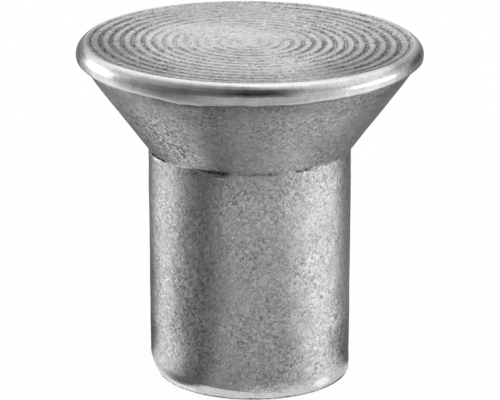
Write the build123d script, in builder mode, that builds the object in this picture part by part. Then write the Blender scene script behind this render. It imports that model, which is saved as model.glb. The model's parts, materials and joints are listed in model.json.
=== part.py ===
# A solid countersunk rivet: one piece of wire, upset into a 75 degree head at one end.
# Millimetres, +Z up. It stands on its shank end, head up, with the origin at the middle of
# that end, on the shank's axis.
from build123d import *
import os
from math import radians, tan

# --- Driving dimensions ---------------------------------------------------------------------

# Shank
shank_diameter = 6.0
overall_length = 10.25  # from the shank's end to the head's face
neck_radius = 0.15  # inside corner where the cone runs into the shank

# Head: a flat face, a rolled rim, and the countersink cone under it
cone_angle = 75.0  # included angle of the countersink
rim_diameter = 10.24  # across the rim's widest point
rim_inset = 0.28  # from the rim's widest point in to the flat face
rim_depth = 0.42  # from the face down to the rim's widest point
lip_overhang = 0.22  # how far the rim stands proud of the cone under it
lip_height = 0.27  # from the rim's widest point down to the cone

# Turning marks that the heading die leaves in the face
groove_margin = 0.455  # from the edge of the flat face in to the first groove's middle
groove_pitch = 0.3125
groove_width = 0.13
groove_depth = 0.04
edge_line_margin = 0.16  # from the edge of the flat face in to the fine line beside it
edge_line_width = 0.08
edge_line_depth = 0.025

# Shank end, rounded by a cup that sits slightly off the shank's axis
end_shift = 0.09  # how far the cup's axis lies from the shank's, towards +X
end_height = 0.84  # how far up the shank the rounding reaches
end_inset = 0.28  # how far the rounding takes the end in, on the cup's own circle
end_run_out = 0.02  # how far the rounding carries on past the shank before it stops
end_edge_radius = 0.10  # break between the rounding and the flat end

# --- Sizes that follow from them ------------------------------------------------------------

shank_radius = shank_diameter / 2
rim_radius = rim_diameter / 2
face_radius = rim_radius - rim_inset
cone_radius = rim_radius - lip_overhang
rim_level = overall_length - rim_depth
lip_level = rim_level - lip_height
cone_height = (cone_radius - shank_radius) / tan(radians(cone_angle / 2))
neck_level = lip_level - cone_height

first_groove_radius = face_radius - groove_margin
groove_count = int(first_groove_radius / groove_pitch)
groove_radii = [first_groove_radius - groove_pitch * i for i in range(groove_count)]
edge_line_radius = face_radius - edge_line_margin

cup_radius = shank_radius + end_shift + end_run_out
cup_reach = 2 * rim_radius  # wider than the head, so that the cup leaves it alone
cup_top = overall_length + rim_depth


def v_groove(radius, width, depth):
    """A diamond centred on the face at that radius: its lower half cuts a V groove."""
    with Locations((radius, overall_length)):
        Polygon((width / 2, 0), (0, depth), (-width / 2, 0), (0, -depth))


# --- Rivet ----------------------------------------------------------------------------------

with BuildPart() as rivet:
    # Half of the rivet's section, from the axis out, turned about the axis.
    with BuildSketch(Plane.XZ) as section:
        with BuildLine():
            Polyline(
                (0, overall_length),
                (0, 0),
                (shank_radius, 0),
                (shank_radius, neck_level),
                (cone_radius, lip_level),
            )
            # The rim is two arcs that meet upright at its widest point.
            TangentArc(
                (rim_radius, rim_level),
                (cone_radius, lip_level),
                tangent=(0, -1),
            )
            TangentArc(
                (rim_radius, rim_level),
                (face_radius, overall_length),
                tangent=(0, 1),
            )
            Line((face_radius, overall_length), (0, overall_length))
        make_face()
        neck = section.vertices().sort_by_distance((shank_radius, neck_level))[0]
        fillet(neck, neck_radius)
    revolve(axis=Axis.Z)

    # The end is what the shank has in common with the rounded cup. The cup's axis is off the
    # shank's, so the rounding is long on the -X side and runs out to almost nothing on +X.
    cup_plane = Plane(origin=(end_shift, 0, 0), x_dir=(1, 0, 0), z_dir=(0, -1, 0))
    with BuildSketch(cup_plane) as cup:
        with BuildLine():
            Line((0, 0), (cup_radius - end_inset, 0))
            TangentArc(
                (cup_radius, end_height),
                (cup_radius - end_inset, 0),
                tangent=(0, -1),
            )
            Polyline(
                (cup_radius, end_height),
                (cup_reach, end_height),
                (cup_reach, cup_top),
                (0, cup_top),
                (0, 0),
            )
        make_face()
        end_edge = cup.vertices().sort_by_distance((cup_radius - end_inset, 0))[0]
        fillet(end_edge, end_edge_radius)
    revolve(axis=Axis(cup_plane.origin, (0, 0, 1)), mode=Mode.INTERSECT)

    # Concentric turning marks in the face, and a finer line beside the rim.
    with BuildSketch(Plane.XZ) as grooves:
        for groove_radius in groove_radii:
            v_groove(groove_radius, groove_width, groove_depth)
        v_groove(edge_line_radius, edge_line_width, edge_line_depth)
    revolve(axis=Axis.Z, mode=Mode.SUBTRACT)

rivet.part.label = "rivet"

os.makedirs("parts", exist_ok=True)
export_step(rivet.part, "parts/rivet.step")

head_height = overall_length - neck_level
print(f"rivet: {overall_length} long, head {rim_diameter} across and {head_height:.2f} high")
print(f"grooves: {groove_count} at {groove_pitch} pitch; volume {rivet.part.volume:.1f} mm3")
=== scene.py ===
# %% [markdown]
# # A solid countersunk rivet
#
# The real thing is one piece of soft steel wire. A heading machine grips the wire, upsets
# one end into a cone with a rolled rim, and leaves the turning marks of its die in the flat
# face. This lesson models that one piece by hand with Blender's edit tools, gives it a
# tumbled bare-metal finish, and lights it as small hardware is lit in a studio.
#
# The first step loads the measured solid, which fixes every size and place.

# %% Load the frame
import json
import math

import bpy
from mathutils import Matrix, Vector


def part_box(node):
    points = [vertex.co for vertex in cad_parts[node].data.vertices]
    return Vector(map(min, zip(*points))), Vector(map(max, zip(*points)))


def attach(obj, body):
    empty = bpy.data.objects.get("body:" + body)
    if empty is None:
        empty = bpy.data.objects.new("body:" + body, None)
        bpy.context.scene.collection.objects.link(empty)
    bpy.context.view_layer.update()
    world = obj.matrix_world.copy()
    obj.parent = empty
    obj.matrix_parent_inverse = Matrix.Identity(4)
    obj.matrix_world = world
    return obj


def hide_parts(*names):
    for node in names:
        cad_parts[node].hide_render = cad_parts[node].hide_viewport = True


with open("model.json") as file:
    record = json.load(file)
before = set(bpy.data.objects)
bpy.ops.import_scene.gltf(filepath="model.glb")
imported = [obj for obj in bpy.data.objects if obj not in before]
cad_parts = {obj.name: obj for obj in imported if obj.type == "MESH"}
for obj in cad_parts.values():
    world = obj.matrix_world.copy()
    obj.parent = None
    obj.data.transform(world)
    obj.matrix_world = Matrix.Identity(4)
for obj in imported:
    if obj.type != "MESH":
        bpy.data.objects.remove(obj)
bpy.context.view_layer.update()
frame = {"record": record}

# %% [markdown]
# ## Sizes
#
# The overall size comes from the frame, and the shank's radius from the part's own record,
# so that the two files can't drift apart. The small forms of the rim, the neck, the end and
# the face's grooves are named here in millimetres.

# %% Sizes
MM = 0.001
rivet_low, rivet_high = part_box("rivet")
mounts = {mount["name"]: mount for mount in frame["record"]["mounts"]}

overall_length = rivet_high.z - rivet_low.z
rim_radius = (rivet_high.x - rivet_low.x) / 2
shank_radius = mounts["shank"]["dims"]["r_mm"] * MM

cone_half_angle = math.radians(37.5)
neck_radius = 0.15 * MM
rim_inset = 0.28 * MM
rim_depth = 0.42 * MM
lip_overhang = 0.22 * MM
lip_height = 0.27 * MM

face_radius = rim_radius - rim_inset
cone_radius = rim_radius - lip_overhang
rim_level = overall_length - rim_depth
lip_level = rim_level - lip_height
neck_level = lip_level - (cone_radius - shank_radius) / math.tan(cone_half_angle)

groove_margin = 0.455 * MM  # from the edge of the face in to the first mark's middle
groove_pitch = 0.3125 * MM
groove_width = 0.13 * MM
groove_depth = 0.04 * MM
first_groove_radius = face_radius - groove_margin
groove_count = int(first_groove_radius / groove_pitch)
groove_radii = [first_groove_radius - groove_pitch * i for i in range(groove_count)]
edge_line_margin = 0.16 * MM  # from the edge of the face in to the fine line beside it
edge_line_width = 0.08 * MM
edge_line_depth = 0.025 * MM
edge_line_radius = face_radius - edge_line_margin

neck_drop = 0.06 * MM  # how far the metal of the cone has run down the shank
neck_swell = 0.02 * MM  # how much thicker the shank is there
print(f"neck at {neck_level / MM:.2f} mm, lip at {lip_level / MM:.2f} mm, {groove_count} grooves")

# %% [markdown]
# ## An outline that is turned
#
# A wire rivet is round about its axis, so half of its section says nearly everything. By
# hand that is a plane merged to one vertex, the vertex extruded along the outline point by
# point, and the outline spun once round. Arcs are worked out, so that they stay arcs when a
# size changes.

# %% Helpers for the outline
turn_steps = 256  # facets round the rivet
same_point = 0.0005 * MM  # points closer than this are merged


def deselect_all():
    if bpy.context.object and bpy.context.object.mode != "OBJECT":
        bpy.ops.object.mode_set(mode="OBJECT")
    bpy.ops.object.select_all(action="DESELECT")


def line(start, end, count=1):
    """Points from start to end, without start."""
    shares = [i / count for i in range(1, count + 1)]
    return [tuple(a + (b - a) * share for a, b in zip(start, end)) for share in shares]


def arc(centre, radius, start_angle, end_angle, count):
    """Points on an arc of the section, without its first."""
    angles = [start_angle + (end_angle - start_angle) * i / count for i in range(1, count + 1)]
    return [(centre[0] + radius * math.cos(a), centre[1] + radius * math.sin(a)) for a in angles]


def arc_from_upright(upright, end, count):
    """Points on the arc that leaves `upright` straight up or down and ends at `end`."""
    inset, rise = upright[0] - end[0], end[1] - upright[1]
    radius = (inset**2 + rise**2) / (2 * inset)
    return arc((upright[0] - radius, upright[1]), radius, 0.0, math.asin(rise / radius), count)


def turned(name, outline, axis_x=0.0, steps=turn_steps):
    """Spins an outline of (radius, level) points once round an upright axis."""
    deselect_all()
    first_radius, first_level = outline[0]
    bpy.ops.mesh.primitive_plane_add(size=MM, location=(axis_x + first_radius, 0, first_level))
    piece = bpy.context.object
    piece.name = piece.data.name = name
    bpy.ops.object.transform_apply(location=True, rotation=True, scale=True)
    bpy.ops.object.mode_set(mode="EDIT")
    bpy.ops.mesh.select_mode(type="VERT")
    bpy.ops.mesh.select_all(action="SELECT")
    bpy.ops.mesh.merge(type="CENTER")
    for (radius, level), (next_radius, next_level) in zip(outline, outline[1:]):
        step = (next_radius - radius, 0, next_level - level)
        bpy.ops.mesh.extrude_region_move(TRANSFORM_OT_translate={"value": step})
    bpy.ops.mesh.select_all(action="SELECT")
    bpy.ops.mesh.spin(steps=steps, angle=math.tau, center=(axis_x, 0, 0), axis=(0, 0, 1))
    bpy.ops.mesh.select_all(action="SELECT")
    bpy.ops.mesh.remove_doubles(threshold=same_point)
    bpy.ops.mesh.normals_make_consistent(inside=False)
    bpy.ops.object.mode_set(mode="OBJECT")
    return piece


print("a full turn has", turn_steps, "facets")

# %% [markdown]
# The outline starts at the middle of the shank's end. Points lie close together wherever a
# later step has to bend the surface, and further apart on the straight shank.

# %% The outline of the shank, the neck and the cone
neck_run = neck_radius * math.tan(cone_half_angle / 2)
neck_foot = (shank_radius + neck_swell, neck_level - neck_drop - neck_run)
neck_centre = (neck_foot[0] + neck_radius, neck_foot[1])

shank_steps, neck_steps, cone_steps = 72, 5, 34
spare = 0.15 * MM  # how far the blank reaches below the end, so that the cup has metal to cut

outline = [(0.0, -spare), (shank_radius, -spare)]
outline += line(outline[-1], neck_foot, shank_steps)
outline += arc(neck_centre, neck_radius, math.pi, math.pi - cone_half_angle, neck_steps)
outline += line(outline[-1], (cone_radius, lip_level), cone_steps)
print(len(outline), "rings up to the lip")

# %% [markdown]
# Upsetting rolls the metal over at the head's edge. In section the roll is two arcs that
# meet upright at the widest point: a tight one down to the lip, and a longer one up to the
# face.

# %% The outline of the rolled rim
lip_steps, rim_steps = 9, 14
rim_point = (rim_radius, rim_level)
lip_arc = arc_from_upright(rim_point, (cone_radius, lip_level), lip_steps)
outline += list(reversed(lip_arc))[1:] + [rim_point]
outline += arc_from_upright(rim_point, (face_radius, overall_length), rim_steps)
print(len(outline), "rings up to the face")

# %% [markdown]
# The turning marks are V grooves with a narrow floor. Each is four rings, and a ridge of
# two steps leads to the next one.

# %% The outline of the grooved face
def groove_outline(radius, width, depth):
    half, half_floor = width / 2, width / 8
    return [
        (radius + half, overall_length),
        (radius + half_floor, overall_length - depth),
        (radius - half_floor, overall_length - depth),
        (radius - half, overall_length),
    ]


outline += groove_outline(edge_line_radius, edge_line_width, edge_line_depth)
for radius in groove_radii:
    groove = groove_outline(radius, groove_width, groove_depth)
    outline += line(outline[-1], groove[0], 2) + groove[1:]
outline.append((0.0, overall_length))
print(len(outline), "rings in all")

# %% Turn the blank
rivet = turned("rivet_body", outline)
print("blank:", len(rivet.data.vertices), "vertices,", len(rivet.data.polygons), "faces")

# %% [markdown]
# ## The end of the shank
#
# The wire is cropped and its end is pressed in a rounded cup. The cup sits a little off the
# shank's axis, so the rounding is long on one side and nearly sharp on the other. The cup is
# turned as a piece of its own, wider than the head above the rounding, and a Boolean keeps
# what the two have in common. That leaves a clean edge where the rounding starts, which
# pushing points about would blur.

# %% Press the end in the cup
end_shift = 0.09 * MM
end_height = 0.84 * MM
end_inset = 0.28 * MM
end_edge = 0.10 * MM
end_run_out = 0.02 * MM  # how far the rounding carries on past the shank
cup_steps = 24
cup_radius = shank_radius + end_shift + end_run_out
cup_reach = 2 * rim_radius
cup_top = overall_length + rim_depth

cup_wall = (cup_radius, end_height)
cup_round = arc_from_upright(cup_wall, (cup_radius - end_inset, 0.0), cup_steps)
cup_outline = [(0.0, 0.0)] + list(reversed(cup_round)) + [cup_wall]
cup_outline += [(cup_reach, end_height), (cup_reach, cup_top), (0.0, cup_top)]
cup = turned("cup", cup_outline, axis_x=end_shift)


def make_active(piece):
    deselect_all()
    piece.select_set(True)
    bpy.context.view_layer.objects.active = piece


make_active(rivet)
press = rivet.modifiers.new("press", "BOOLEAN")
press.operation = "INTERSECT"
press.solver = "EXACT"
press.object = cup
bpy.ops.object.modifier_apply(modifier="press")
bpy.data.objects.remove(cup, do_unlink=True)
print("end pressed:", len(rivet.data.vertices), "vertices")

# %% [markdown]
# The edge where the rounding meets the flat end is broken a little, as a tumbling barrel
# does. The ring of edges there is picked by its place and bevelled.

# %% Break the end's edge
def select_where(piece, kind, wanted):
    """Edit mode with the points ("VERT") or edges ("EDGE") selected that are `wanted`."""
    make_active(piece)
    bpy.ops.object.mode_set(mode="EDIT")
    bpy.ops.mesh.select_mode(type=kind)
    bpy.ops.mesh.select_all(action="DESELECT")
    bpy.ops.object.mode_set(mode="OBJECT")
    points = piece.data.vertices
    if kind == "VERT":
        for point in points:
            point.select = wanted(point.co)
    else:
        for edge in piece.data.edges:
            edge.select = all(wanted(points[i].co) for i in edge.vertices)
    bpy.ops.object.mode_set(mode="EDIT")


def on_end_edge(p):
    near = 0.03 * MM
    middle = Vector((end_shift, 0, 0))
    return p.z < near and (p - middle).length > cup_radius - end_inset - near


select_where(rivet, "EDGE", on_end_edge)
bpy.ops.mesh.bevel(offset=end_edge / 2, segments=3, affect="EDGES")
bpy.ops.object.mode_set(mode="OBJECT")
print("edge broken:", len(rivet.data.vertices), "vertices")

# %% [markdown]
# ## The worn face
#
# The die doesn't sit dead square, so the rim leans by four tenths of a degree and the turned
# face inside it by one. Each lean is made in many small turns of ever fewer points, so that
# the rim's rounding and the face's border take it up. The turns are about the left side,
# which keeps its height.

# %% Lean the rim and the face
def lower_right(piece, angle, wanted):
    """Turns the wanted points about the left side, so that the right side sinks."""
    select_where(piece, "VERT", wanted)
    bpy.ops.transform.rotate(
        value=-angle, orient_axis="Y", orient_type="GLOBAL",
        center_override=(-face_radius, 0, overall_length),
    )
    bpy.ops.object.mode_set(mode="OBJECT")


rim_lean = math.radians(0.4)
face_lean = math.radians(1.0)
lean_turns = 14
for turn in range(lean_turns):
    level = rim_level + rim_depth * (turn + 0.5) / lean_turns
    sunk = math.sin(rim_lean) * turn / lean_turns
    lower_right(rivet, rim_lean / lean_turns, lambda p: p.z > level - (p.x + face_radius) * sunk)
for turn in range(lean_turns):
    reach = face_radius - (face_radius - first_groove_radius) * (turn + 0.5) / lean_turns
    lower_right(
        rivet, (face_lean - rim_lean) / lean_turns,
        lambda p: p.z > rim_level and math.hypot(p.x, p.y) < reach,
    )


def face_level(x):
    """Height of the turned face, which leans, over a point."""
    return overall_length - (x + face_radius) * math.sin(face_lean)


left_face, right_face = face_level(-face_radius) / MM, face_level(face_radius) / MM
print(f"face at {left_face:.3f} mm on the left and {right_face:.3f} mm on the right")

# %% [markdown]
# The turning marks are nearly rubbed out in one place behind the middle. Points of the
# marks are lifted inside smaller and smaller ovals, so the marks run out softly.

# %% Rub the turning marks out in one place
rubbed_middle = Vector((-0.4 * MM, 2.2 * MM, 0))
rubbed_reach = Vector((2.3 * MM, 3.0 * MM, 0))


def in_rubbed_place(p, share):
    """Whether a point of a groove lies in the rubbed oval, scaled by share."""
    across = (p.x - rubbed_middle.x) / (rubbed_reach.x * share)
    along = (p.y - rubbed_middle.y) / (rubbed_reach.y * share)
    in_groove = face_level(p.x) - 1.5 * groove_depth < p.z < face_level(p.x) - 0.01 * groove_depth
    in_face = math.hypot(p.x, p.y) < first_groove_radius + groove_width
    return in_groove and in_face and math.hypot(across, along) < 1


rub_lift = 0.22 * groove_depth
rub_shares = (1.0, 0.85, 0.7)
for share in rub_shares:
    select_where(rivet, "VERT", lambda p: in_rubbed_place(p, share))
    bpy.ops.transform.translate(value=(0, 0, rub_lift))
    bpy.ops.object.mode_set(mode="OBJECT")
print(f"marks filled by {len(rub_shares) * rub_lift / groove_depth:.0%} of their depth")

# %% [markdown]
# ## Lumps, a wavy lip and folds
#
# No hit of a heading machine leaves a perfect surface. A Displace modifier with a soft
# procedural pattern makes the skin a little lumpy, so that highlights waver. It only pushes
# inwards, and so the piece stays inside the solid's box. A second one, held to the lip by a
# vertex group, makes the edge under the rim wavy.

# %% Helpers for uneven surfaces
def side_of(p):
    """Degrees round the axis from the front, positive towards the right."""
    return math.degrees(math.atan2(p.x, -p.y))


def weigh(piece, name, weight):
    """A vertex group that holds the weight of each point."""
    group = piece.vertex_groups.new(name=name)
    for point in piece.data.vertices:
        value = weight(point.co)
        if value > 0:
            group.add([point.index], value, "REPLACE")


def press_in(piece, name, size, depth, group=""):
    """Pushes the skin in by up to depth, in soft lumps of about that size."""
    lumps = bpy.data.textures.new(name, "CLOUDS")
    lumps.noise_scale = size
    lumps.noise_depth = 1
    make_active(piece)
    press = piece.modifiers.new(name, "DISPLACE")
    press.texture = lumps
    press.texture_coords = "LOCAL"
    press.mid_level = 1.0
    press.strength = depth
    press.vertex_group = group
    bpy.ops.object.modifier_apply(modifier=name)


# %% Lumpy skin and wavy lip
flat_end = 0.02 * MM  # below this the end stays flat
lip_reach = 0.16 * MM  # above and below the lip


def on_skin(p):
    """All but the flat end and the face, whose marks stay crisp."""
    if p.z < flat_end:
        return 0.0
    return 1.0 if p.z < rim_level else max(0.0, 1 - (p.z - rim_level) / rim_depth)


def on_lip(p):
    return max(0.0, 1 - abs(p.z - lip_level) / lip_reach)


weigh(rivet, "skin", on_skin)
weigh(rivet, "lip", on_lip)
press_in(rivet, "skin_lumps", 0.9 * MM, 0.026 * MM, group="skin")
press_in(rivet, "lip_waves", 0.45 * MM, 0.05 * MM, group="lip")
reach_right = max(point.co.x for point in rivet.data.vertices) / MM
print(f"the rim reaches {reach_right:.3f} mm to the right after the lumps")

# %% [markdown]
# The hit squeezed more metal out in front than at the sides. There the lip hangs lower, and
# at the sides it is drawn up, so its edge isn't level. The same modifier does both, this
# time upwards or downwards only.

# %% Lip that hangs lower in front and is drawn up at the sides
pull_above, pull_below = 0.24 * MM, 0.4 * MM  # where the pull on the lip has faded out


def hang(piece, name, places, most):
    """Moves the lip down by up to `most`. A place is its side and reach in degrees, and a share."""
    def on_place(p):
        rise = p.z - lip_level
        fade = rise / pull_above if rise > 0 else -rise / pull_below
        near = max(0.0, 1 - fade)
        share = 0.0
        for side, reach, full in places:
            off = abs(side_of(p) - side) / reach
            share += full * math.cos(min(off, 1) * math.pi / 2) ** 2
        return near * min(share, 1.0)

    weigh(piece, name, on_place)
    make_active(piece)
    pull = piece.modifiers.new(name, "DISPLACE")
    pull.direction = "Z"
    pull.mid_level = 0.0
    pull.strength = -most
    pull.vertex_group = name
    bpy.ops.object.modifier_apply(modifier=name)


hang(rivet, "lip_low", [(-20, 20, 0.7), (0, 50, 0.4)], 0.09 * MM)
hang(rivet, "lip_high", [(-75, 22, 0.7), (66, 24, 1.0)], -0.08 * MM)
print(f"lip pulled down and up about {lip_level / MM:.2f} mm")

# %% [markdown]
# Where the cone meets the shank, the metal has folded over itself in places. Each fold is
# a shallow groove that runs out at both ends.

# %% Folds where the cone meets the shank
# Each is where it starts and ends, in degrees from the front, and its depth beside the others'.
folds = [(-82, -50, 0.06), (-36, -8, 0.07), (-14, 14, 0.012), (22, 38, 0.035)]
deepest = max(full for start, end, full in folds)
fold_depth = 0.09 * MM  # the most that the deepest fold is pressed in
fold_reach = 0.09 * MM  # above and below the neck


def in_fold(p):
    depth = 0.0
    for start, end, full in folds:
        share = (side_of(p) - start) / (end - start)
        if 0 < share < 1:
            depth = max(depth, full * math.sin(math.pi * share))
    near = max(0.0, 1 - ((p.z - neck_foot[1]) / fold_reach) ** 2)
    return near * depth / deepest


weigh(rivet, "folds", in_fold)
press_in(rivet, "neck_folds", 0.25 * MM, fold_depth, group="folds")
rivet.vertex_groups.clear()
levels = [point.co.z / MM for point in rivet.data.vertices]
print(f"from {min(levels):.3f} to {max(levels):.3f} mm,", len(rivet.data.polygons), "faces")

# %% [markdown]
# ## The metal
#
# The rivet is bare steel that was tumbled in a barrel with its mates: satin all over, with a
# fine mottled grain, more polished on the rim where parts knock together, and duller on the
# cone. One material covers the piece. It reads Object coordinates turned into millimetres, so
# that every scale in it is a real size, and picks the finish of each zone by its place. The
# small helpers below stand for the nodes that one would join up by hand.

# %% Node helpers
def add_node(tree, kind, *values, **settings):
    """A node with its first inputs set: a value is written, a socket is linked."""
    node = tree.nodes.new(kind)
    for key, value in settings.items():
        setattr(node, key, value)
    for socket, value in zip(node.inputs, values):
        if isinstance(value, bpy.types.NodeSocket):
            tree.links.new(value, socket)
        elif value is not None:
            socket.default_value = value
    return node


def math_node(tree, operation, *values):
    return add_node(tree, "ShaderNodeMath", *values, operation=operation).outputs[0]


def both(tree, mask, *others):
    """The masks multiplied, so it is 1 only where all of them are."""
    for other in others:
        mask = math_node(tree, "MULTIPLY", mask, other)
    return mask


def smooth_range(tree, value, low, high, to_low=0.0, to_high=1.0):
    """Eases from to_low to to_high while value goes from low to high."""
    node = add_node(
        tree, "ShaderNodeMapRange", value, low, high, to_low, to_high,
        interpolation_type="SMOOTHSTEP",
    )
    return node.outputs["Result"]


def noise(tree, vector, scale, detail=2.0, roughness=0.5, distortion=0.0):
    node = tree.nodes.new("ShaderNodeTexNoise")
    tree.links.new(vector, node.inputs["Vector"])
    node.inputs["Scale"].default_value = scale
    node.inputs["Detail"].default_value = detail
    node.inputs["Roughness"].default_value = roughness
    node.inputs["Distortion"].default_value = distortion
    return node.outputs["Fac"]


def scaled(tree, value, mask, share):
    """The value, changed by that share of itself where the mask is 1."""
    factor = math_node(tree, "MULTIPLY_ADD", mask, share, 1.0)
    return math_node(tree, "MULTIPLY", value, factor)


def raised(tree, value, mask, amount):
    """The value, raised by that amount where the mask is 1."""
    return math_node(tree, "MULTIPLY_ADD", mask, amount, value)


def oval(tree, place, middle, reach, edge=0.5):
    """1 inside an oval, easing to 0 at its reach; both in millimetres."""
    away = add_node(tree, "ShaderNodeVectorMath", place, middle, operation="SUBTRACT").outputs[0]
    share = add_node(tree, "ShaderNodeVectorMath", away, reach, operation="DIVIDE").outputs[0]
    far = add_node(tree, "ShaderNodeVectorMath", share, operation="LENGTH").outputs["Value"]
    return smooth_range(tree, far, 1 - edge, 1.0, 1.0, 0.0)


# %% Coordinates of the metal in millimetres
steel = bpy.data.materials.new("tumbled_steel")
steel.use_nodes = True
tree = steel.node_tree
shader = tree.nodes["Principled BSDF"]
shader.inputs["Metallic"].default_value = 1.0
# On a metal this tints what is reflected at a flat angle, so near the outline.
shader.inputs["Specular Tint"].default_value = (0.75, 0.75, 0.75, 1)

object_coordinates = tree.nodes.new("ShaderNodeTexCoord").outputs["Object"]
place = add_node(
    tree, "ShaderNodeVectorMath", object_coordinates, (1 / MM, 1 / MM, 1 / MM),
    operation="MULTIPLY",
).outputs[0]
split = add_node(tree, "ShaderNodeSeparateXYZ", place)
height = split.outputs["Z"]
flat = add_node(tree, "ShaderNodeVectorMath", place, (1, 1, 0), operation="MULTIPLY").outputs[0]
radius_mm = add_node(tree, "ShaderNodeVectorMath", flat, operation="LENGTH").outputs["Value"]
print("material", steel.name, "covers the whole rivet")

# %% [markdown]
# Each zone of the rivet was finished by something else. The rim was knocked smooth, the
# cone kept the dull skin of the die, and the shank the drawn skin of the wire, darkened a
# little just under the head by soil and painted shade. Zones are picked by height and
# radius, and worn places and painted highlights by soft ovals.

# %% Zones
lip_mm, rim_mm, top_mm = lip_level / MM, rim_level / MM, overall_length / MM
neck_mm = neck_foot[1] / MM
face_mm, cone_mm = face_radius / MM, cone_radius / MM
overall_radius_mm = rim_radius / MM

above_neck = smooth_range(tree, height, neck_mm - 0.05, neck_mm + 0.1)
above_rim = smooth_range(tree, height, rim_mm, rim_mm + 0.1)
above_lip = smooth_range(tree, radius_mm, cone_mm, cone_mm + 0.05)
above_lip = math_node(tree, "MAXIMUM", above_lip, above_rim)
inside = smooth_range(tree, radius_mm, face_mm - 0.05, face_mm + 0.02, 1.0, 0.0)
face_zone = both(tree, above_rim, inside)
rim_zone = math_node(tree, "SUBTRACT", above_lip, face_zone)
cone_zone = math_node(tree, "SUBTRACT", above_neck, above_lip)
below_neck = math_node(tree, "SUBTRACT", 1.0, above_neck)
print(f"zones: shank to {neck_mm:.2f} mm, cone to {lip_mm:.2f} mm, then the rim and the face")

# %% [markdown]
# Tumbling leaves two patterns: a fine grain, about a tenth of a millimetre across, and
# broad soft clouds. Both come from noise with its middle taken to 0, so that they darken as
# much as they brighten. The rim is polished, and shows little of the grain.

# %% Grain of the tumbled skin
grain = noise(tree, place, 10.0, detail=2.0, roughness=0.6, distortion=1.2)
clouds = noise(tree, place, 1.6, detail=3.0, roughness=0.6)
grain = math_node(tree, "SUBTRACT", grain, 0.5)
clouds = math_node(tree, "SUBTRACT", clouds, 0.5)
rim_free = math_node(tree, "MULTIPLY_ADD", rim_zone, -0.8, 1.0)
print("grain and clouds made")

# %% [markdown]
# The rim was knocked and rubbed across, from the face down to the cone: short streaks run
# over it. They come from noise read along the rim's length, and only a little along its
# height. The lip at its lower edge is brightened, partly by wear and partly as a painted
# highlight. Painted highlights also brighten the top edge of the rim beside the face, and a
# broad patch of the rim on the left.

# %% Streaks across the rim, its worn lip, and painted highlights on the rim
towards_front = math_node(tree, "MULTIPLY", split.outputs["Y"], -1.0)
side_angle = math_node(tree, "ARCTAN2", split.outputs["X"], towards_front)
along_rim = math_node(tree, "MULTIPLY", side_angle, overall_radius_mm)
streak_place = add_node(
    tree, "ShaderNodeCombineXYZ", along_rim, math_node(tree, "MULTIPLY", height, 0.6)
).outputs[0]
streaks = math_node(tree, "SUBTRACT", noise(tree, streak_place, 3.0, 4.0, 0.65), 0.5)
rim_streaks = both(tree, streaks, rim_zone)
lip_end = smooth_range(tree, height, lip_mm + 0.10, lip_mm + 0.28, 1.0, 0.0)
# The lower edge of the lip is brightened: partly wear, partly a painted highlight.
lip_wear_and_highlight = both(tree, rim_zone, lip_end)
# A painted highlight: the rim on the left is brightened where the left softbox shines in it.
left_rim_highlight = oval(tree, place, (-3.0, -4.1, lip_mm + 0.02), (2.8, 2.8, 0.34), edge=0.5)
left_rim_highlight = both(tree, left_rim_highlight, rim_zone)
# A painted highlight along the top edge of the rim, beside the face.
shoulder_highlight = smooth_range(tree, radius_mm, face_mm + 0.06, face_mm + 0.16, 1.0, 0.0)
shoulder_highlight = both(tree, shoulder_highlight, rim_zone, above_rim)
print(f"streaks run round {math.tau * overall_radius_mm:.1f} mm of rim")

# %% [markdown]
# The turning marks are darkened with painted shade. The distance to the nearest mark comes
# from the radius, and a little noise on it makes the marks ragged. Where the face is rubbed,
# the painted shade fades, and it is stronger towards the sides than in front and behind.

# %% Where the turning marks are
def marks(tree, radius_mm, first, pitch, half_width, shift):
    """1 in the middle of each mark, 0 on the ridges."""
    offset = math_node(tree, "SUBTRACT", radius_mm, first)
    wrapped = math_node(tree, "WRAP", offset, pitch / 2, -pitch / 2)
    away = math_node(tree, "ADD", math_node(tree, "ABSOLUTE", wrapped), shift)
    return smooth_range(tree, away, half_width * 0.6, half_width * 1.5, 1.0, 0.0)


first_mm, pitch_mm = first_groove_radius / MM, groove_pitch / MM
edge_line_mm = edge_line_radius / MM
mark_half_width, line_half_width = 0.08, 0.035
ragged = noise(tree, place, 8.0, detail=3.0, roughness=0.75)
ragged_shift = math_node(tree, "MULTIPLY_ADD", ragged, 0.34, -0.17)
turned_marks = marks(tree, radius_mm, first_mm, pitch_mm, mark_half_width, ragged_shift)
within = smooth_range(tree, radius_mm, first_mm + 0.10, first_mm + 0.14, 1.0, 0.0)
turned_marks = both(tree, turned_marks, within)
edge_mark = marks(tree, radius_mm, edge_line_mm, 2 * face_mm, line_half_width, ragged_shift)
all_marks = math_node(tree, "MAXIMUM", turned_marks, edge_mark)
print(groove_count, "marks and one fine line")

# %% Painted shade in the turning marks
rubbed = oval(tree, place, (-1.4, 0.7, top_mm), (2.0, 1.8, 3), edge=0.4)
rubbed_back = oval(tree, place, (-0.6, 4.4, top_mm), (3.0, 2.0, 3), edge=0.8)
middle = oval(tree, place, (0.4, 0.5, top_mm), (1.9, 1.6, 3), edge=0.8)
smooth_places = math_node(tree, "MAXIMUM", math_node(tree, "MAXIMUM", rubbed, rubbed_back), middle)
kept = math_node(tree, "MULTIPLY_ADD", smooth_places, -0.92, 1.0)
sideways = math_node(tree, "DIVIDE", math_node(tree, "ABSOLUTE", split.outputs["X"]), radius_mm)
sideways = smooth_range(tree, sideways, 0.35, 0.85, 0.5, 1.0)
breaks = smooth_range(tree, noise(tree, place, 4.0, detail=3.0, roughness=0.6), 0.36, 0.56, 0.4, 1.0)
speckle = smooth_range(tree, noise(tree, place, 13.0, detail=2.0), 0.38, 0.6, 1.0, 0.45)
# Painted shade: the marks are darkened as recesses, more at the sides than in front.
groove_shade_mask = both(tree, all_marks, kept, sideways, breaks, speckle, face_zone)
print("grime fades where the face is rubbed")

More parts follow.
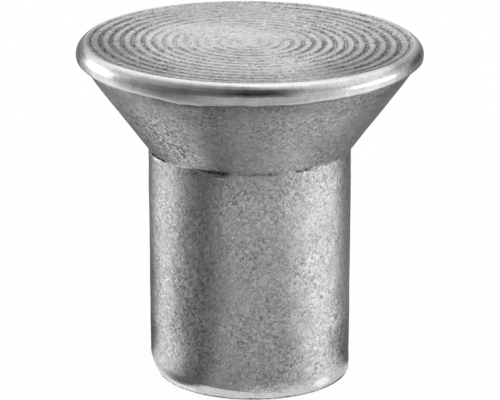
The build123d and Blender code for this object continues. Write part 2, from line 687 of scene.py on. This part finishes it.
# %% [markdown]
# The folds at the neck, the cone just under the lip, the crease where the lip meets the cone
# and the fine line along the border of the face are darkened with painted shade. Under the
# head the shank is darkened too, partly by soil and partly by painted shade.

# %% Painted shade in the folds at the neck
def at_side(side, radius, level):
    """A place in millimetres, that many degrees round from the front."""
    a = math.radians(side)
    return (radius * math.sin(a), -radius * math.cos(a), level)


shank_mm = shank_radius / MM
wobble = noise(tree, place, 4.0, detail=4.0, roughness=0.7)
fold_height = math_node(tree, "MULTIPLY_ADD", wobble, 0.12, height)
fold_height = math_node(tree, "SUBTRACT", fold_height, neck_mm + 0.09)
off_fold = math_node(tree, "ABSOLUTE", fold_height)
fold_line = smooth_range(tree, off_fold, 0.015, 0.07, 1.0, 0.0)
# Each place is a side in degrees, how far it reaches in millimetres, and how dark its shade is painted.
fold_places = [(-19, 0.55, 1.0), (4, 0.9, 0.5), (-68, 0.9, 1.8), (31, 0.35, 0.9)]
fold_shade_mask = None
for side, reach, strength in fold_places:
    spot = oval(tree, place, at_side(side, shank_mm, neck_mm), (reach, reach, 0.4), edge=0.6)
    spot = math_node(tree, "MULTIPLY", spot, strength)
    fold_shade_mask = spot if fold_shade_mask is None else math_node(tree, "MAXIMUM", fold_shade_mask, spot)
fold_breaks = smooth_range(tree, noise(tree, place, 6.0, detail=3.0), 0.38, 0.55, 0.35, 1.0)
# Painted shade: the fold lines are darkened as a shaded crease is.
fold_shade_mask = both(tree, fold_shade_mask, fold_line, fold_breaks)
print(len(fold_places), "folds hold grime")

# %% [markdown]
# The tone is the metal's own grey, and is built up from one plain value. The grain and the
# clouds come first. The grain is stronger in broad patches, weaker on the polished end, and
# strongest where the cone is scuffed. Each further step changes the tone by a share of
# itself in one zone.

# %% Plain tone with its grain
plain_tone = 0.64
scuffed = oval(tree, place, at_side(-46, 3.8, 8.0), (1.8, 1.8, 2.0), edge=0.7)
scuffed = math_node(tree, "MAXIMUM", scuffed, fold_shade_mask)
patches = smooth_range(tree, noise(tree, place, 0.7), 0.36, 0.64, 0.75, 1.35)
polished = smooth_range(tree, height, 0.35, 0.8, 0.4, 1.0)
contrast = raised(tree, both(tree, patches, polished, rim_free), scuffed, 1.2)
tone = raised(tree, plain_tone, both(tree, grain, contrast), 1.5)
tone = raised(tree, tone, clouds, 0.3)
print("plain tone:", plain_tone)

# %% Tone of the cone and the rim
# The cone is made darker on its right.
darker_cone_right = oval(tree, place, at_side(42, 4.0, 8.7), (2.7, 2.7, 1.8), edge=0.7)
# Painted shade on the cone just under the overhanging lip.
under_lip_shade = smooth_range(tree, height, lip_mm - 0.7, lip_mm - 0.05)
from_crease = math_node(tree, "ABSOLUTE", math_node(tree, "SUBTRACT", radius_mm, cone_mm))
# Painted shade in the crease where the lip meets the cone, which also hides a bright grazing line
# there.
lip_crease_shade = smooth_range(tree, from_crease, 0.01, 0.06, 1.0, 0.0)
lip_crease_shade = both(tree, lip_crease_shade, math_node(tree, "SUBTRACT", 1.0, above_rim))

tone = scaled(tree, tone, cone_zone, -0.18)
tone = scaled(tree, tone, both(tree, darker_cone_right, cone_zone), -0.15)
tone = scaled(tree, tone, both(tree, under_lip_shade, cone_zone), -0.28)
tone = scaled(tree, tone, lip_crease_shade, -0.4)
tone = scaled(tree, tone, rim_zone, 0.14)
tone = scaled(tree, tone, rim_streaks, 0.55)
tone = scaled(tree, tone, lip_wear_and_highlight, 0.22)
tone = scaled(tree, tone, left_rim_highlight, 0.35)
tone = scaled(tree, tone, shoulder_highlight, 0.42)
print("cone duller, rim brighter")

# %% Tone of the shank: soil and painted shade under the head, and painted highlights on its end
# Under the head the shank is darkened, partly by soil and partly as painted shade under the overhang.
darkened_from = neck_mm - 0.9
under_head_soil_and_shade = both(tree, smooth_range(tree, height, darkened_from, neck_mm), below_neck)
end_band = smooth_range(tree, height, 0.2, 0.6, 1.0, 0.0)
# Painted highlights on the rounded end: a broad one on the left and a small glint on the right.
left_end_highlight = oval(tree, place, at_side(-58, 2.8, 0.1), (1.5, 1.5, 0.36), edge=0.5)
right_end_highlight = oval(tree, place, at_side(46, 3.0, 0.3), (0.45, 0.45, 0.16), edge=0.5)

tone = scaled(tree, tone, under_head_soil_and_shade, -0.15)
# The lowest half millimetre is made a little darker.
tone = scaled(tree, tone, end_band, -0.08)
tone = scaled(tree, tone, math_node(tree, "MAXIMUM", left_end_highlight, right_end_highlight), 0.5)
print(f"shank soiled above {darkened_from:.2f} mm")

# %% [markdown]
# The face is brightest in the middle and dulls towards its border, more in front than
# behind. A few dull places lie on it, and one that was rubbed bright.

# %% Tone of the face
border = smooth_range(tree, radius_mm, 2.6, 4.5)
in_front = smooth_range(tree, split.outputs["Y"], -0.5, 2.5, 1.0, 0.5)
# Each place is its middle, its reach and its change of tone.
face_places = [
    ((-4.5, -1.6), (2.0, 2.5), -0.35),
    ((-4.9, 0.6), (1.0, 1.6), -0.25),
    ((-2.8, -3.4), (1.2, 1.6), -0.2),
    ((3.7, -2.3), (2.3, 2.9), -0.3),
    ((2.5, -3.1), (1.4, 1.4), -0.18),
    ((-1.3, 3.0), (2.2, 1.6), -0.08),
]
tone = scaled(tree, tone, face_zone, 0.24)
tone = scaled(tree, tone, both(tree, border, in_front, face_zone), -0.24)
for (x, y), (reach_x, reach_y), change in face_places:
    spot = oval(tree, place, (x, y, top_mm), (reach_x, reach_y, 2), edge=0.7)
    tone = scaled(tree, tone, both(tree, spot, face_zone), change)
tone = scaled(tree, tone, both(tree, rubbed, face_zone), 0.10)
tone = scaled(tree, tone, both(tree, rubbed_back, face_zone), -0.12)
print(len(face_places), "places on the face")

# %% Painted shade in the marks and folds, and the finished colour
tone = scaled(tree, tone, groove_shade_mask, -0.78)
tone = scaled(tree, tone, fold_shade_mask, -0.85)
tone = math_node(tree, "MINIMUM", math_node(tree, "MAXIMUM", tone, 0.02), 0.95)
warmth = 0.98  # bare steel is a touch warm, so it holds back a little blue
colour = add_node(
    tree, "ShaderNodeCombineColor", tone, tone, math_node(tree, "MULTIPLY", tone, warmth)
)
tree.links.new(colour.outputs[0], shader.inputs["Base Color"])
print("colour joined to", shader.name)

# %% [markdown]
# How sharp a reflection is depends on the skin too. The rim and the worn end are the
# smoothest, the cone and the face blur more, and the marks and the folds blur most. The
# grain, the streaks and the folds also get a faint bump, far too fine to model.

# %% Roughness and the grain's relief
shank_roughness = 0.21
rough = raised(tree, shank_roughness, cone_zone, 0.13)
for mask, amount in (
    (rim_zone, -0.03), (rim_streaks, 0.2), (lip_wear_and_highlight, 0.18), (left_rim_highlight, 0.08),
    (face_zone, 0.16), (end_band, -0.08), (groove_shade_mask, 0.15), (fold_shade_mask, 0.3), (grain, 0.1),
):
    rough = raised(tree, rough, mask, amount)
tree.links.new(rough, shader.inputs["Roughness"])

relief = both(tree, grain, rim_free)
relief = raised(tree, relief, rim_streaks, 0.7)
relief = raised(tree, relief, fold_shade_mask, -1.5)
bump = tree.nodes.new("ShaderNodeBump")
bump.inputs["Strength"].default_value = 1.0
bump.inputs["Distance"].default_value = 0.009 * MM
tree.links.new(relief, bump.inputs["Height"])
tree.links.new(bump.outputs["Normal"], shader.inputs["Normal"])
print("nodes in the material:", len(tree.nodes))

# %% [markdown]
# The finished piece takes the solid's place on its body. Its faces are smoothed up to 15
# degrees, so that the turned skin is round and the edges of the marks stay crisp.

# %% Put the piece in its place in the frame
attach(rivet, "root")
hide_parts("rivet")
deselect_all()
rivet.select_set(True)
bpy.context.view_layer.objects.active = rivet
bpy.ops.object.shade_smooth_by_angle(angle=math.radians(15))
rivet.data.materials.append(steel)
print(rivet.name, "measures", [round(side / MM, 3) for side in rivet.dimensions], "mm")

# %% [markdown]
# ## The studio
#
# Bare metal is nothing but what it reflects, so most of the work is in what stands round it.
# A white floor and a white tent give the white edges, two softboxes the bright stripes, and
# rings of black gauze the dark ones. The gauze takes a part of the white away before the
# metal sees it, and only reflections see the gauze itself. The floor stays pale and plain,
# and keeps a little of the rivet's shadow.

# %% Floor and tent
def white_where_seen(material, white_share):
    """Mixes plain white light into what the camera and reflections see of a surface."""
    nodes = material.node_tree
    path = nodes.nodes.new("ShaderNodeLightPath")
    seen = math_node(nodes, "MAXIMUM", path.outputs["Is Camera Ray"], path.outputs["Is Glossy Ray"])
    seen = math_node(nodes, "MAXIMUM", seen, path.outputs["Is Transmission Ray"])
    share = math_node(nodes, "MULTIPLY", seen, white_share)
    glow = add_node(nodes, "ShaderNodeEmission", (1, 1, 1, 1), 1.0)
    plain = nodes.nodes["Principled BSDF"]
    mixed = add_node(nodes, "ShaderNodeMixShader", share, plain.outputs[0], glow.outputs[0])
    nodes.links.new(mixed.outputs[0], nodes.nodes["Material Output"].inputs["Surface"])


round_steps = 96  # facets round the floor and the gauze
floor_radius = 0.4
deselect_all()
bpy.ops.mesh.primitive_circle_add(vertices=round_steps, radius=floor_radius, fill_type="NGON")
ground = bpy.context.object
ground.name = "floor"
pale = bpy.data.materials.new("pale_floor")
pale.use_nodes = True
pale.node_tree.nodes["Principled BSDF"].inputs["Base Color"].default_value = (0.9, 0.9, 0.9, 1)
pale.node_tree.nodes["Principled BSDF"].inputs["Specular IOR Level"].default_value = 0.0
white_where_seen(pale, 0.95)
ground.data.materials.append(pale)

world = bpy.data.worlds.new("studio")
bpy.context.scene.world = world
world.use_nodes = True
world.node_tree.nodes["Background"].inputs["Color"].default_value = (1, 1, 1, 1)
world.node_tree.nodes["Background"].inputs["Strength"].default_value = 1.0
print(ground.name, "is", 2 * floor_radius, "m across")

# %% [markdown]
# The rings are black gauze about the rivet: three on the table, the last with its edge
# turned up, three on the wall of the tent, the last leaning in, and one under its roof.
# Each is graded: the share of light that it lets through changes from side to side as
# listed, so that the stripes it gives the metal have soft edges. Sides are counted in
# degrees from the front, positive towards the right. The first ring is open round the
# shank's foot, and more so in front on the right, so that the rounded end sees white floor.

# %% Graded gauze that only reflections see
hole_shift = (-0.55 * MM, 0.86 * MM, 0)  # from the middle of the opening to the rivet's axis


def graded_gauze(name, passed, clear_below, full_above):
    """Black gauze; `passed` lists (side, share of light let through) from -180 to 180."""
    gauze = bpy.data.materials.new(name)
    gauze.use_nodes = True
    nodes = gauze.node_tree
    spot = nodes.nodes.new("ShaderNodeTexCoord").outputs["Object"]
    at = add_node(nodes, "ShaderNodeSeparateXYZ", spot)
    towards = math_node(nodes, "MULTIPLY", at.outputs["Y"], -1.0)
    side = math_node(nodes, "ARCTAN2", at.outputs["X"], towards)
    share = add_node(nodes, "ShaderNodeMapRange", side, -math.pi, math.pi).outputs["Result"]
    ramp = add_node(nodes, "ShaderNodeValToRGB", share)
    stops = ramp.color_ramp.elements
    while len(stops) < len(passed):
        stops.new(0.5)
    for stop, (degrees, through) in zip(stops, passed):
        stop.position = (degrees + 180) / 360
        stop.color = (through, through, through, 1)
    stopped = math_node(nodes, "SUBTRACT", 1.0, ramp.outputs["Color"])
    flat_spot = add_node(nodes, "ShaderNodeVectorMath", spot, (1, 1, 0), operation="MULTIPLY")
    from_hole = add_node(nodes, "ShaderNodeVectorMath", flat_spot.outputs[0], hole_shift)
    far = add_node(nodes, "ShaderNodeVectorMath", from_hole.outputs[0], operation="LENGTH")
    cover = smooth_range(nodes, far.outputs["Value"], clear_below * MM, full_above * MM)
    plain = nodes.nodes["Principled BSDF"]
    plain.inputs["Base Color"].default_value = (0.01, 0.01, 0.01, 1)
    plain.inputs["Specular IOR Level"].default_value = 0.0
    nodes.links.new(math_node(nodes, "MULTIPLY", stopped, cover), plain.inputs["Alpha"])
    return gauze


def gauze_ring(name, outline, passed, clear_below=0.0, full_above=0.001):
    """Gauze turned about the rivet along an outline of (radius, level) in mm."""
    sheet = turned(name, [(radius * MM, level * MM) for radius, level in outline], steps=round_steps)
    sheet.data.materials.append(graded_gauze(name, passed, clear_below, full_above))
    sheet.visible_camera = False
    sheet.visible_diffuse = False
    sheet.visible_shadow = False
    sheet.visible_transmission = False
    print(name, "runs from", outline[0], "to", outline[-1])


# %% Gauze on the table
gauze_ring("gauze_foot", [(2.92, 0.03), (6.6, 0.03)], [
    (-180, 0.2), (-140, 0.12), (-120, 0.1), (-110, 0.22), (-100, 0.8), (-92, 1), (-84, 1),
    (-76, 0.95), (-66, 0.62), (-57, 0.26), (-46, 0.13), (-38, 0.13), (-25, 0.34), (0, 0.34), (20, 0.34),
    (40, 0.5), (55, 0.9), (68, 1), (79, 0.77), (88, 0.4), (97, 0.18), (110, 0.2), (180, 0.25),
], clear_below=2.75, full_above=3.0)
gauze_ring("gauze_near", [(6.6, 0.03), (14, 0.03)], [
    (-180, 0.26), (-145, 0.16), (-130, 0.2), (-118, 0.55), (-108, 1), (-92, 1), (-80, 0.5),
    (-68, 0.26), (-58, 0.19), (-44, 0.15), (-30, 0.3), (-16, 0.44), (0, 0.4), (20, 0.4),
    (38, 0.42), (54, 0.74), (66, 1), (92, 1), (104, 0.62), (116, 0.34), (140, 0.28), (180, 0.28),
])
gauze_ring("gauze_table", [(14, 0.03), (70, 0.03), (70, 9)], [
    (-180, 0.3), (-160, 0.3), (-146, 0.2), (-134, 0.6), (-124, 1), (-102, 1), (-92, 0.8),
    (-80, 0.42), (-66, 0.21), (-52, 0.15), (-40, 0.19), (-22, 0.42), (0, 0.45), (24, 0.5),
    (38, 0.58), (54, 0.78), (68, 1), (104, 1), (114, 0.66), (124, 0.3), (145, 0.24),
    (165, 0.3), (180, 0.3),
])

# %% Gauze on the wall of the tent and under its roof
gauze_ring("gauze_low_wall", [(150, 3), (150, 46)], [
    (-180, 1), (-170, 0.6), (-160, 0.27), (-150, 0.3), (-140, 0.4), (-130, 0.85), (-124, 1),
    (-116, 1), (-102, 0.8), (-92, 0.5), (-82, 0.3), (-70, 0.22), (-56, 0.16), (-40, 0.12), (-22, 0.17),
    (0, 0.12), (20, 0.16), (32, 0.5), (46, 0.74), (60, 0.72), (72, 1), (104, 1), (114, 0.75),
    (124, 0.36), (134, 0.12), (148, 0.1), (158, 0.33), (168, 0.75), (180, 1),
])
gauze_ring("gauze_wall", [(150, 46), (150, 110)], [
    (-180, 1), (-168, 0.6), (-156, 0.6), (-146, 0.85), (-130, 1), (-112, 1), (-100, 0.68),
    (-90, 0.42), (-76, 0.26), (-60, 0.16), (-40, 0.11), (-20, 0.12), (-8, 0.01), (8, 0.01),
    (20, 0.05), (30, 0.32), (44, 0.52), (60, 0.6), (78, 0.85), (92, 1), (112, 0.85),
    (124, 0.5), (140, 0.32), (156, 0.42), (168, 0.75), (180, 1),
])
gauze_ring("gauze_high_wall", [(150, 110), (95, 185)], [
    (-180, 1), (-150, 1), (-130, 0.8), (-115, 0.62), (-100, 0.52), (-80, 0.4), (-60, 0.27),
    (-40, 0.2), (-20, 0.13), (0, 0.04), (18, 0.05), (30, 0.16), (44, 0.42), (60, 0.75),
    (80, 0.95), (110, 1), (130, 0.95), (150, 0.75), (180, 1),
])
gauze_ring("gauze_roof", [(95, 185), (5, 215)], [
    (-180, 1), (-140, 0.85), (-120, 0.75), (-100, 0.55), (-60, 0.4), (-20, 0.3), (0, 0.3),
    (20, 0.42), (40, 0.62), (70, 0.8), (100, 1), (180, 1),
])

# %% [markdown]
# Two softboxes make the bright stripes, one on the right and one behind on the left. The
# light of each fades towards its edges, as behind a real diffuser, so that the stripes have
# no hard ends. The camera doesn't see them.

# %% Softboxes
soft_edge = 0.3  # share of the box over which its light fades in from each side


def softbox(name, side, rise, distance, width, tall, brightness):
    """An area light that faces the rivet: side and rise in degrees, distance and size in mm."""
    lamp_data = bpy.data.lights.new(name, "AREA")
    lamp_data.shape = "RECTANGLE"
    lamp_data.size, lamp_data.size_y = width * MM, tall * MM
    lamp_data.energy = brightness * math.pi * lamp_data.size * lamp_data.size_y
    lamp = bpy.data.objects.new(name, lamp_data)
    bpy.context.scene.collection.objects.link(lamp)
    a, e = math.radians(side), math.radians(rise)
    out = Vector((math.sin(a) * math.cos(e), -math.cos(a) * math.cos(e), math.sin(e)))
    lamp.location = out * distance * MM
    lamp.rotation_mode = "QUATERNION"
    lamp.rotation_quaternion = out.to_track_quat("Z", "Y")
    lamp.visible_camera = False
    lamp_data.use_nodes = True
    nodes = lamp_data.node_tree
    spot = nodes.nodes.new("ShaderNodeNewGeometry").outputs["Parametric"]
    at = add_node(nodes, "ShaderNodeSeparateXYZ", spot)
    glow = 1.0
    for part in (at.outputs["X"], at.outputs["Y"]):
        from_edge = math_node(nodes, "PINGPONG", part, 0.5)
        glow = math_node(nodes, "MULTIPLY", smooth_range(nodes, from_edge, 0.0, soft_edge), glow)
    nodes.links.new(glow, nodes.nodes["Emission"].inputs["Strength"])
    print(name, "is", width, "by", tall, "mm, at", side, "degrees")


softbox("softbox_right", side=88, rise=9, distance=200, width=190, tall=90, brightness=1.3)
softbox("softbox_left", side=-119, rise=14, distance=200, width=170, tall=130, brightness=1.3)

# %% [markdown]
# The camera stands in front, close by and a little above, so that the face shows as a
# narrow oval and the rivet fills the height of the picture.

# %% Camera
camera_elevation = math.radians(17.48)
camera_distance = 91.2 * MM
look_at = Vector((0.006 * MM, 0, rivet_low.z + 5.30 * MM))
back = Vector((0, -math.cos(camera_elevation), math.sin(camera_elevation)))
camera_data = bpy.data.cameras.new("camera")
camera = bpy.data.objects.new("camera", camera_data)
bpy.context.scene.collection.objects.link(camera)
camera.location = look_at + back * camera_distance
camera.rotation_mode = "QUATERNION"
camera.rotation_quaternion = (-back).to_track_quat("-Z", "Y")
camera_data.lens = 220.2
camera_data.sensor_width = 36
camera_data.clip_start, camera_data.clip_end = 0.001, 10
bpy.context.scene.camera = camera
bpy.context.scene.view_settings.view_transform = "Standard"
print("camera", round(camera_distance / MM, 1), "mm away, lens", round(camera_data.lens, 1))
